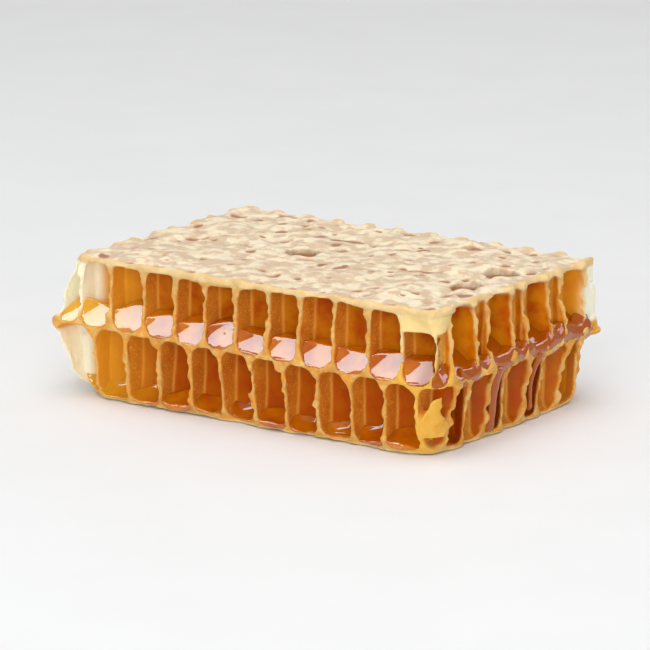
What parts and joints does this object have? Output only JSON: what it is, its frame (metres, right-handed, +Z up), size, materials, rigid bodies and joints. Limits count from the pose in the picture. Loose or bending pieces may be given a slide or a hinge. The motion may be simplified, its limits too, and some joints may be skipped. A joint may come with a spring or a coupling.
{
  "type": "honeycomb piece",
  "caption": "Thick piece cut from a capped honeycomb, with wax lids over the top and cells full of honey cut open along its sides.",
  "frame": {"origin": "middle of the footprint's bounding box, on the surface that the piece rests on", "axes": "+X along the long sides and the rows of cells, towards the narrower cut end; +Y across the rows, to the back; +Z up, out of the capped top"},
  "size_m": [0.0664, 0.0424, 0.0208],
  "materials": {
    "wax": "waxy, grainy, cream on the lids and golden in the cells",
    "honey": "wet and glossy amber"
  },
  "bodies": {
    "root": {"wax_comb": "wax", "honey_upper": "honey", "honey_lower": "honey"}
  },
  "joints": []
}
